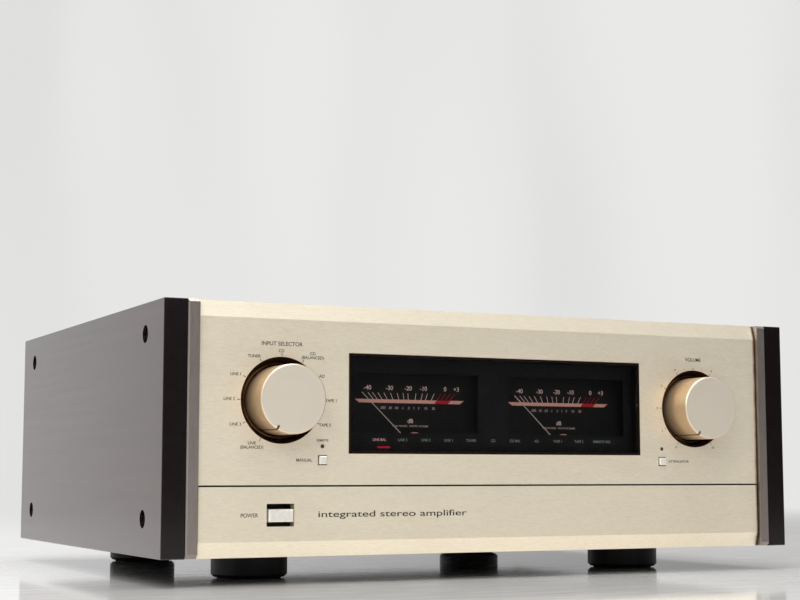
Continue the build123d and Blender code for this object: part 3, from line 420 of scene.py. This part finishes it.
class Drawing:
    """Flat artwork on a plane that faces the front (or the rear), gathered into one mesh.

    Places are in metres: x across and z up. The artwork is a thin raised layer.
    """

    LAYER = 0.03 * MM
    CAPITAL = 0.7                           # height of a capital, as a share of the font size
    THICKEN = 0.02                          # growth of a stroke, as a share of that height
    MOST_THICKENING = 0.035 * MM

    def __init__(self, y, rear=False):
        self.shape = bmesh.new()
        self.y = y
        self.side = 1 if rear else -1

    def add_layer(self, corners):
        """Raises a thin slab over a polygon of (x, z) corners."""
        lift = self.side * self.LAYER
        base = [self.shape.verts.new((x, self.y, z)) for x, z in corners]
        top = [self.shape.verts.new((x, self.y + lift, z)) for x, z in corners]
        self.shape.faces.new(base)
        self.shape.faces.new(top)
        for i in range(len(corners)):
            j = (i + 1) % len(corners)
            self.shape.faces.new((base[i], base[j], top[j], top[i]))

    def line(self, x0, z0, x1, z1, width):
        along = Vector((x1 - x0, z1 - z0)).normalized()
        side = Vector((-along.y, along.x)) * width / 2
        self.add_layer([(x0 + side.x, z0 + side.y), (x1 + side.x, z1 + side.y),
                        (x1 - side.x, z1 - side.y), (x0 - side.x, z0 - side.y)])

    def dot(self, x, z, radius, sides=20):
        turn = 2 * math.pi / sides
        self.add_layer([(x + radius * math.cos(i * turn), z + radius * math.sin(i * turn))
                        for i in range(sides)])

    def radial(self, x, z, angle, inner, outer, width):
        """Tick that points at (x, z). The angle is clockwise from straight up."""
        across, up = math.sin(math.radians(angle)), math.cos(math.radians(angle))
        self.line(x + inner * across, z + inner * up, x + outer * across, z + outer * up, width)

    def text(self, words, x, z, height, width=None):
        """Capitals of a given height, centred on z, squeezed to a width when one is given."""
        curve = bpy.data.curves.new("words", "FONT")
        curve.body = words
        curve.align_x = "CENTER"
        curve.size = height / self.CAPITAL
        curve.extrude = self.LAYER / 2
        curve.offset = min(self.THICKEN * height, self.MOST_THICKENING)
        temporary = bpy.data.objects.new("words", curve)
        bpy.context.scene.collection.objects.link(temporary)
        bpy.context.view_layer.update()
        mesh = bpy.data.meshes.new_from_object(temporary)
        xs = [v.co.x for v in mesh.vertices]
        stretch = width / (max(xs) - min(xs)) if width else 1.0
        flip = -self.side
        for v in mesh.vertices:
            v.co = (x + flip * v.co.x * stretch, self.y + self.side * (v.co.z + self.LAYER / 2),
                    z + v.co.y - height / 2)
        self.shape.from_mesh(mesh)
        bpy.data.objects.remove(temporary)
        bpy.data.meshes.remove(mesh)

    def finish(self, name, material, body):
        bmesh.ops.recalc_face_normals(self.shape, faces=self.shape.faces)
        piece(mesh_of(self.shape, name), material, body)


def height_above_base(mm):
    """Height in the frame of a place that is given in millimetres above the case's bottom."""
    return CASE_BOTTOM + mm * MM


def turned_mesh(name, outline, x, z, segments=64):
    """Mesh turned about an axis along Y from an outline of (radius, y) corners, closed."""
    shape = bmesh.new()
    rings = []
    for i in range(segments):
        a = 2 * math.pi * i / segments
        rings.append([shape.verts.new((x + r * math.cos(a), y, z + r * math.sin(a)))
                      for r, y in outline])
    for i in range(segments):
        here, there = rings[i], rings[(i + 1) % segments]
        for j in range(len(outline)):
            k = (j + 1) % len(outline)
            shape.faces.new((here[j], here[k], there[k], there[j]))
    bmesh.ops.remove_doubles(shape, verts=shape.verts, dist=1e-7)
    bmesh.ops.recalc_face_normals(shape, faces=shape.faces)
    return mesh_of(shape, name)


# ---------------------------------------------------------------- fascia lettering
LETTER = 1.9 * MM                           # capitals of the source names
TITLE = 2.5 * MM                            # capitals of the titles
PROUD = 0.005 * MM                          # gap between a surface and the print on it
FIRST_TICK, TICK_STEP = -150, 30            # degrees clockwise from straight up
TICK_FROM = 28.0 * MM                       # distance from the knob's axis to its ticks
FASCIA_PRINT_Y = FACE_Y - PROUD


def around(spot, angle, reach):
    """The (x, z) at a reach from a spot. The angle is clockwise from straight up."""
    turn = math.radians(angle)
    return spot.x + reach * math.sin(turn), spot.z + reach * math.cos(turn)


def selector_scale():
    """Ten source positions round the left knob, their names, and its title."""
    art = Drawing(FASCIA_PRINT_Y)
    x, z = INPUT_KNOB.x, INPUT_KNOB.z
    for i in range(10):
        art.radial(x, z, FIRST_TICK + TICK_STEP * i, TICK_FROM, 30.0 * MM, 0.4 * MM)
    # Middle of each name, in millimetres across and up from the knob's axis.
    one_line = {
        "TUNER": (-18.8, 27.6), "CD": (-0.4, 31.4), "AD": (27.6, 16.0), "LINE 1": (-30.9, 16.0),
        "LINE 2": (-35.2, 0.4), "LINE 3": (-30.9, -15.4), "TAPE 1": (34.2, 0.4),
        "TAPE 2": (29.9, -15.3),
    }
    two_lines = {"CD": (21.2, 28.9), "LINE": (-19.9, -28.4)}
    half_line = 1.3
    for words, (dx, dz) in one_line.items():
        art.text(words, x + dx * MM, z + dz * MM, LETTER)
    for words, (dx, dz) in two_lines.items():
        art.text(words, x + dx * MM, z + (dz + half_line) * MM, LETTER)
        art.text("(BALANCED)", x + dx * MM, z + (dz - half_line) * MM, LETTER)
    art.text("INPUT SELECTOR", x, z + 35.9 * MM, TITLE, width=28.0 * MM)
    art.finish("selector_scale", PRINT, "case")


def volume_scale():
    """Ticks for 0 to 10 round the right knob, with a dot halfway between each pair.

    The middle tick, below the title, has no number.
    """
    art = Drawing(FASCIA_PRINT_Y)
    x, z = VOLUME_KNOB.x, VOLUME_KNOB.z
    number_reach, dot_reach = 31.8 * MM, 29.2 * MM
    for i in range(11):
        angle = FIRST_TICK + TICK_STEP * i
        art.radial(x, z, angle, TICK_FROM, 29.4 * MM, 0.35 * MM)
        if i != 5:
            art.text(str(i), *around(VOLUME_KNOB, angle, number_reach), 1.6 * MM)
        if i < 10:
            art.dot(*around(VOLUME_KNOB, angle + TICK_STEP / 2, dot_reach), 0.2 * MM)
    art.text("VOLUME", x, z + 35.3 * MM, TITLE, width=13.8 * MM)
    art.finish("volume_scale", PRINT, "case")


def button_words():
    """Names beside the two square buttons and above the left lamp."""
    art = Drawing(FASCIA_PRINT_Y)
    manual = centre("manual_button")
    attenuator = centre("attenuator_button")
    art.text("REMOTE", manual.x, centre("status_leds").z + 3.8 * MM, 1.5 * MM)
    art.text("MANUAL", manual.x - 12.6 * MM, manual.z, LETTER)
    art.text("ATTENUATOR", attenuator.x + 14.2 * MM, attenuator.z, 1.6 * MM, width=17.5 * MM)
    art.finish("button_words", PRINT, "case")


def button_wells():
    """Dark square sleeves that line the two button holes in the fascia: painted shade in the
    holes.
    """
    shape = bmesh.new()
    outer, inner = 3.19 * MM, 3.0 * MM      # half widths
    front, rear = FACE_Y + 0.2 * MM, FACE_Y + 8.8 * MM
    corners = ((-1, -1), (1, -1), (1, 1), (-1, 1))
    for node in ("manual_button", "attenuator_button"):
        spot = centre(node)
        rings = [[shape.verts.new((spot.x + sx * half, y, spot.z + sz * half))
                  for sx, sz in corners]
                 for half, y in ((outer, front), (inner, front), (inner, rear), (outer, rear))]
        for i, ring in enumerate(rings):
            other = rings[(i + 1) % len(rings)]
            for j in range(len(corners)):
                k = (j + 1) % len(corners)
                shape.faces.new((ring[j], ring[k], other[k], other[j]))
    bmesh.ops.recalc_face_normals(shape, faces=shape.faces)
    piece(mesh_of(shape, "button_wells"), MATERIALS["mask_black"], "case")


def flap_words():
    """Name beside the power button and the amplifier's plain title, on the flap."""
    art = Drawing(FLAP_LOW.y - PROUD)
    power = centre("power_button")
    art.text("POWER", power.x - 20.9 * MM, power.z + 0.3 * MM, TITLE, width=11.6 * MM)
    art.text("integrated stereo amplifier", power.x + 79.0 * MM, height_above_base(26.6),
             3.9 * MM, width=107.0 * MM)
    art.finish("flap_words", PRINT, "flap")


# ---------------------------------------------------------------- meters
# Heights are above the case's bottom, and places across are from the needle's axis. Both are
# in millimetres.
BAR_LOW, BAR_TOP = 99.1, 101.4
TICK_TOP = 105.8
DECIBEL_LINE, WATT_LINE = 109.2, 95.9       # middles of the two rows of numbers
UNIT_LINE, CAPTION_LINE = 87.3, 83.8        # middles of the dB sign and the words below it
TICK_WIDTH = 0.35
BAR_HALF = 40.8
RED_FROM, RED_TO = 19.8, 30.8
DECIBEL_TICKS = (-31.0, -27.3, -24.4, -20.9, -17.1, -12.9, -8.5, -4.7, -1.5, 3.7, 8.0, 11.4,
                 15.8)
OVER_TICKS = (20.2, 23.2, 26.4, 29.6)
DECIBELS = {"-40": -31.6, "-30": -15.5, "-20": -1.5, "-10": 10.0, "0": 26.4, "+3": 35.0}
WATTS = {".003": -20.2, ".01": -14.8, ".03": -10.3, ".1": -5.7, ".3": -1.3, "1": 2.7, "3": 6.3,
         "10": 11.6, "30": 17.4}


def meter_scale(label, x, pivot_z):
    """Decibel scale: a salmon bar with a red stretch, ticks aimed at the pivot, numbers."""
    pivot = (pivot_z - CASE_BOTTOM) / MM
    shrink = (BAR_LOW - pivot) / (BAR_TOP - pivot)
    grow = (TICK_TOP - pivot) / (BAR_TOP - pivot)
    ink_y = DIAL_Y - 0.06 * MM

    def bar(art, left, right):
        art.add_layer([(x + dx * MM, height_above_base(h)) for dx, h in
                       ((left, BAR_TOP), (right, BAR_TOP), (right * shrink, BAR_LOW),
                        (left * shrink, BAR_LOW))])

    def ticks(art, places):
        for dx in places:
            art.line(x + dx * MM, height_above_base(BAR_TOP), x + dx * grow * MM,
                     height_above_base(TICK_TOP), TICK_WIDTH * MM)

    def numbers(art, places, line, letter):
        for words, dx in places.items():
            art.text(words, x + dx * MM, height_above_base(line), letter * MM)

    salmon = Drawing(ink_y)
    bar(salmon, -BAR_HALF, RED_FROM)
    bar(salmon, RED_TO, BAR_HALF)
    salmon.finish(f"scale_bar_{label}", SALMON, "case")
    red = Drawing(ink_y)
    bar(red, RED_FROM, RED_TO)
    ticks(red, OVER_TICKS)
    red.finish(f"scale_red_{label}", SCALE_RED, "case")
    lines = Drawing(ink_y)
    ticks(lines, DECIBEL_TICKS)
    numbers(lines, DECIBELS, DECIBEL_LINE, 2.9)
    lines.text("dB", x, height_above_base(UNIT_LINE), 2.8 * MM)
    lines.finish(f"scale_lines_{label}", SCALE_LINE, "case")
    small = Drawing(ink_y)
    numbers(small, WATTS, WATT_LINE, 1.7)
    small.text("PEAK POWER   WATTS / 8 OHMS", x, height_above_base(CAPTION_LINE), 1.2 * MM,
               width=26.5 * MM)
    small.finish(f"scale_small_{label}", SCALE_DIM, "case")


CAP_SET_BACK = 1.9 * MM                     # cap's face behind the mask's face
CAP_FACE_R, CAP_SHOULDER_R, CAP_R = 5.6 * MM, 7.4 * MM, 8.1 * MM
CAP_SHOULDER, CAP_CORNER, CAP_DEPTH = 0.5 * MM, 1.4 * MM, 2.2 * MM
# Radii and thickness of the painted highlight round the cap's edge.
RIM_HIGHLIGHT_INNER_R, RIM_HIGHLIGHT_R = 7.3 * MM, 8.15 * MM
RIM_HIGHLIGHT_THICKNESS = 0.4 * MM


def hub_cap(label, x, pivot_z):
    """Rounded cap in front of the needle's bearing, with a glowing salmon ring round its edge: a
    painted highlight.
    """
    front = MASK_Y + CAP_SET_BACK
    outline = [(0.0, front), (CAP_FACE_R, front), (CAP_SHOULDER_R, front + CAP_SHOULDER),
               (CAP_R, front + CAP_CORNER), (CAP_R, front + CAP_DEPTH), (0.0, front + CAP_DEPTH)]
    cap = turned_mesh(f"hub_cap_{label}", outline, x, pivot_z)
    piece(cap, MATERIALS["dial_black"], "case")
    # Painted highlight: a glowing salmon ring round the cap's edge.
    inner, outer = front + 0.3 * MM, front + 1.3 * MM
    rim = [(RIM_HIGHLIGHT_INNER_R, inner), (RIM_HIGHLIGHT_R, outer), (RIM_HIGHLIGHT_R, outer + RIM_HIGHLIGHT_THICKNESS),
           (RIM_HIGHLIGHT_INNER_R, inner + RIM_HIGHLIGHT_THICKNESS)]
    piece(turned_mesh(f"hub_rim_highlight_{label}", rim, x, pivot_z), SALMON, "case")


SOURCES = ("LINE BAL", "LINE 3", "LINE 2", "LINE 1", "TUNER", "CD", "CD BAL", "AD", "TAPE 1",
           "TAPE 2", "REMOTE VOL")


SOURCE_PITCH = 17.1 * MM
LAST_SHIFT = 2.0 * MM                       # the long last name stands a little further right
LAMP_WIDTH = 9.6 * MM


def source_row():
    """Names of the sources above their lamps. The first one is lit."""
    height = height_above_base(74.4)
    last = len(SOURCES) - 1
    lit, dim = Drawing(MASK_Y - PROUD), Drawing(MASK_Y - PROUD)
    for i, words in enumerate(SOURCES):
        art = lit if i == 0 else dim
        x = (i - last // 2) * SOURCE_PITCH + (LAST_SHIFT if i == last else 0.0)
        art.text(words, x, height, 1.7 * MM)
    lit.finish("source_name_lit", LABEL_LIT, "case")
    dim.finish("source_names", LABEL_TEAL, "case")


def lamp_glow():
    """Lit face of the first source lamp, with cut corners."""
    low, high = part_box("source_lamps")
    inset, cut = 0.05 * MM, 0.4 * MM
    x0, x1 = low.x + inset, low.x + LAMP_WIDTH - inset
    z0, z1 = low.z + inset, high.z - inset
    glow = Drawing(low.y - 0.01 * MM)
    glow.add_layer([(x0 + cut, z0), (x1 - cut, z0), (x1, z0 + cut), (x1, z1 - cut),
                    (x1 - cut, z1), (x0 + cut, z1), (x0, z1 - cut), (x0, z0 + cut)])
    glow.finish("lamp_glow", LAMP_LIT, "case")


# ---------------------------------------------------------------- knob pointers
FILL_HALF_WIDTH = 0.68 * MM
GROOVE = (21.15 * MM, 21.45 * MM)           # radii of the fill along the knob's side
NOTCH = (19.25 * MM, 21.3 * MM)             # radii of the fill in its face


def knob_pointer(name, axis, body):
    """Dark fill in the pointer groove along the knob's side and in the notch of its face."""
    shape = bmesh.new()
    turn = Matrix.Rotation(math.radians(FIRST_TICK), 3, "Y")

    def strip(radii, y0, y1):
        r0, r1 = radii
        for v in bmesh.ops.create_cube(shape, size=1.0)["verts"]:
            local = turn @ Vector((v.co.x * 2 * FILL_HALF_WIDTH, 0,
                                   (r0 + r1) / 2 + v.co.z * (r1 - r0)))
            v.co = (axis.x + local.x, (y0 + y1) / 2 + v.co.y * (y1 - y0), axis.z + local.z)

    strip(GROOVE, KNOB_FACE_Y + 1.25 * MM, KNOB_BACK_Y - 0.2 * MM)
    strip(NOTCH, KNOB_FACE_Y + 0.75 * MM, KNOB_FACE_Y + 1.15 * MM)
    piece(mesh_of(shape, name), POINTER, body)


# ---------------------------------------------------------------- behind the flap
SMALL_TICK_FROM = 8.2 * MM                  # distance from a small knob's axis to its ticks
SMALL_TICK_WIDTH = 0.3 * MM


def sub_panel_words():
    """Plain lettering and scales beside the controls behind the flap."""
    art = Drawing(SUBPANEL_Y - PROUD)
    for node, words in (("speaker_knob", "SPEAKERS"), ("bass_knob", "BASS"),
                        ("treble_knob", "TREBLE"), ("balance_knob", "BALANCE"),
                        ("tone_button", "TONE"), ("mono_button", "MONO"),
                        ("headphone_jack", "PHONES")):
        spot = centre(node)
        art.text(words, spot.x, spot.z - 12.5 * MM, 2.0 * MM)
        if node in ("bass_knob", "treble_knob", "balance_knob"):
            for i in range(-5, 6):
                reach = 10.2 * MM if i % 5 == 0 else 9.4 * MM
                art.radial(spot.x, spot.z, 28 * i, SMALL_TICK_FROM, reach, SMALL_TICK_WIDTH)
    spot = centre("speaker_knob")
    for i, words in enumerate(("OFF", "A", "B", "A+B")):
        angle = -30 + 30 * i
        art.radial(spot.x, spot.z, angle, SMALL_TICK_FROM, 9.6 * MM, SMALL_TICK_WIDTH)
        turn = math.radians(angle)
        art.text(words, spot.x + 12.6 * MM * math.sin(turn), spot.z + 11.6 * MM * math.cos(turn),
                 1.4 * MM)
    art.finish("sub_panel_words", PRINT_GREY, "case")


# ---------------------------------------------------------------- rear
JACK_FLANGE_R = 6.2 * MM
JACK_COLUMNS = 10
NUT_R = 9.0 * MM
NUT_COLUMNS = 4


def ring_row(name, low_x, high_x, count, z, outline, material, segments):
    """Equal rings in a row along X, evenly spaced, gathered into one piece."""
    shape = bmesh.new()
    pitch = (high_x - low_x) / (count - 1)
    for i in range(count):
        ring = turned_mesh("ring", outline, low_x + i * pitch, z, segments)
        shape.from_mesh(ring)
        bpy.data.meshes.remove(ring)
    piece(mesh_of(shape, name), material, "case")


def phono_rings():
    """White rings round the upper row of phono sockets and red ones round the lower row."""
    low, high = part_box("rca_jacks")
    inner, outer, rounded = 4.25 * MM, 5.9 * MM, 5.7 * MM
    seat = REAR_Y + 2.02 * MM
    outline = [(inner, seat), (outer, seat), (rounded, REAR_Y + 2.9 * MM),
               (inner, REAR_Y + 3.1 * MM)]
    for row, z, material in (("left", high.z - JACK_FLANGE_R, RING_WHITE),
                             ("right", low.z + JACK_FLANGE_R, RING_RED)):
        ring_row(f"phono_rings_{row}", low.x + JACK_FLANGE_R, high.x - JACK_FLANGE_R,
                 JACK_COLUMNS, z, outline, material, 40)


def terminal_rings():
    """Red bands round the upper row of speaker nuts and black ones round the lower row."""
    low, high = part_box("terminal_nuts")
    inner, outer, rounded = NUT_R + 0.02 * MM, NUT_R + 0.9 * MM, NUT_R + 0.7 * MM
    seat = REAR_Y + 4.1 * MM
    outline = [(inner, seat), (outer, seat), (rounded, REAR_Y + 7.2 * MM),
               (inner, REAR_Y + 7.9 * MM)]
    for row, z, material in (("upper", high.z - NUT_R, RING_RED),
                             ("lower", low.z + NUT_R, RING_BLACK)):
        ring_row(f"terminal_rings_{row}", low.x + NUT_R, high.x - NUT_R, NUT_COLUMNS, z,
                 outline, material, 48)


def rear_print():
    """A printed frame and a word for each group of connectors."""
    art = Drawing(REAR_Y + PROUD, rear=True)
    for node, words, margin in (("rca_jacks", "INPUTS / OUTPUTS", 4.5 * MM),
                                ("balanced_sockets", "BALANCED", 3.5 * MM),
                                ("terminal_plate", "SPEAKERS", 4.0 * MM),
                                ("mains_inlet", "AC", 4.0 * MM)):
        low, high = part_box(node)
        x0, x1, z0, z1 = low.x - margin, high.x + margin, low.z - margin, high.z + margin
        for ends in ((x0, z0, x1, z0), (x0, z1, x1, z1), (x0, z0, x0, z1), (x1, z0, x1, z1)):
            art.line(*ends, 0.35 * MM)
        art.text(words, (low.x + high.x) / 2, high.z + 8.2 * MM, 2.4 * MM)
    art.finish("rear_print", PRINT_GREY, "case")


selector_scale()
volume_scale()
button_words()
button_wells()
flap_words()
for meter_label, (meter_x, _, meter_z) in zip(("left", "right"), METER_CENTRES):
    meter_scale(meter_label, meter_x, meter_z)
    hub_cap(meter_label, meter_x, meter_z)
source_row()
lamp_glow()
knob_pointer("input_pointer", INPUT_KNOB, "input_selector")
knob_pointer("volume_pointer", VOLUME_KNOB, "volume_control")
sub_panel_words()
phono_rings()
terminal_rings()
rear_print()

# ---------------------------------------------------------------- softened edges
EDGE_BREAK = 0.25 * MM
for bevelled in ("front_panel", "front_flap"):
    modifier = NODES[bevelled].modifiers.new("edge_break", "BEVEL")
    modifier.width = EDGE_BREAK
    modifier.segments = 2
    modifier.limit_method = "ANGLE"
    modifier.angle_limit = math.radians(40)
    modifier.harden_normals = True

# ---------------------------------------------------------------- camera
PHOTO_EYE = Vector((-0.5393, FACE_Y - 0.9558, 0.0697))
PHOTO_YAW = math.radians(25.875)
PHOTO_PITCH = math.radians(6.116)
PHOTO_LENS = 72.81
camera_data = bpy.data.cameras.new("camera")
camera_data.lens = PHOTO_LENS
camera = bpy.data.objects.new("camera", camera_data)
camera.location = PHOTO_EYE
camera.rotation_euler = (math.pi / 2 + PHOTO_PITCH, 0, -PHOTO_YAW)
bpy.context.scene.collection.objects.link(camera)
bpy.context.scene.camera = camera
bpy.context.scene.view_settings.view_transform = "Standard"


# ---------------------------------------------------------------- studio
def area_light(name, place, target, size, power):
    """Round lamp at a place, aimed at a target."""
    data = bpy.data.lights.new(name, "AREA")
    data.shape = "DISK"
    data.size = size
    data.energy = power
    lamp = bpy.data.objects.new(name, data)
    lamp.location = place
    lamp.rotation_euler = (Vector(target) - Vector(place)).to_track_quat("-Z", "Y").to_euler()
    bpy.context.scene.collection.objects.link(lamp)


area_light("top", (-0.1, -0.35, 2.3), (0, -0.1, 0), 1.3, 34)
area_light("key", (-1.25, -1.55, 1.2), (-0.1, 0, 0.1), 1.0, 16)


def studio_world():
    """Pale backdrop for the camera. For light and reflections: bright above and behind,
    dark low in front, as in a room with the lights over the set."""
    world = bpy.data.worlds.new("studio")
    bpy.context.scene.world = world
    world.use_nodes = True
    graph = Graph(world.node_tree)
    graph.nodes.clear()
    axes = graph.split(graph.node("ShaderNodeTexCoord").outputs["Generated"])

    # What lights the object and shows in its reflections.
    in_front = graph.ramp(axes["Y"], -0.3, -0.6)
    near_horizon = graph.ramp(graph.math("ABSOLUTE", axes["Z"]), 0.19, 0.1)
    not_right = graph.ramp(axes["X"], 0.92, 0.74)
    dark_patch = graph.math("MULTIPLY", graph.math("MULTIPLY", in_front, near_horizon), not_right)
    shade = graph.math("SUBTRACT", 1.0, graph.math("MULTIPLY", dark_patch, 0.93))
    overhead = graph.ramp(axes["Z"], 0.3, 0.75, 0.72, 1.25)
    leftward = graph.ramp(axes["X"], 0.75, 0.15, 0.42, 1.0)
    tone = graph.math("MULTIPLY", graph.math("MULTIPLY", overhead, leftward), shade)
    grey = graph.node("ShaderNodeCombineColor")
    for socket in grey.inputs:
        graph.links.new(tone, socket)
    lighting = graph.node("ShaderNodeBackground")
    graph.links.new(grey.outputs["Color"], lighting.inputs["Color"])

    # What the camera sees: paper with painted shade of wide soft folds that run up it.
    along_fold_shade = graph.coordinates((7.0, 7.0, 0.5), "Generated")
    fold_shade = graph.noise_over(along_fold_shade, detail=2.0, roughness=0.5)
    paper = graph.blend(graph.ramp(fold_shade, 0.35, 0.65), srgb(224, 224, 222), srgb(233, 233, 232))
    backdrop = graph.node("ShaderNodeBackground")
    graph.links.new(paper, backdrop.inputs["Color"])

    mix = graph.node("ShaderNodeMixShader")
    output = graph.node("ShaderNodeOutputWorld")
    path = graph.node("ShaderNodeLightPath")
    graph.links.new(path.outputs["Is Camera Ray"], mix.inputs["Fac"])
    graph.links.new(lighting.outputs["Background"], mix.inputs[1])
    graph.links.new(backdrop.outputs["Background"], mix.inputs[2])
    graph.links.new(mix.outputs["Shader"], output.inputs["Surface"])


def studio_floor():
    """Glossy white board that fades out into the backdrop."""
    look = Shader("floor", IOR=1.5, Specular_IOR_Level=0.5)
    streaks = look.noise((18.0, 90.0, 1.0), detail=5.0)
    board = look.blend(look.spread(streaks, 0.0, 1.0), srgb(222, 220, 217), srgb(230, 229, 227))
    look.colour(board)
    look.rough(look.spread(streaks, 0.05, 0.1))
    distance = look.vector_math("LENGTH", look.coordinates((1.0, 1.0, 1.0)))["Value"]
    look.links.new(look.ramp(distance, 0.7, 2.4, 1.0, 0.0), look.bsdf.inputs["Alpha"])
    shape = bmesh.new()
    bmesh.ops.create_circle(shape, cap_ends=True, segments=128, radius=4.0)
    mesh = mesh_of(shape, "floor")
    mesh.materials.append(look.mat)
    floor = bpy.data.objects.new("floor", mesh)
    bpy.context.scene.collection.objects.link(floor)


studio_world()
studio_floor()
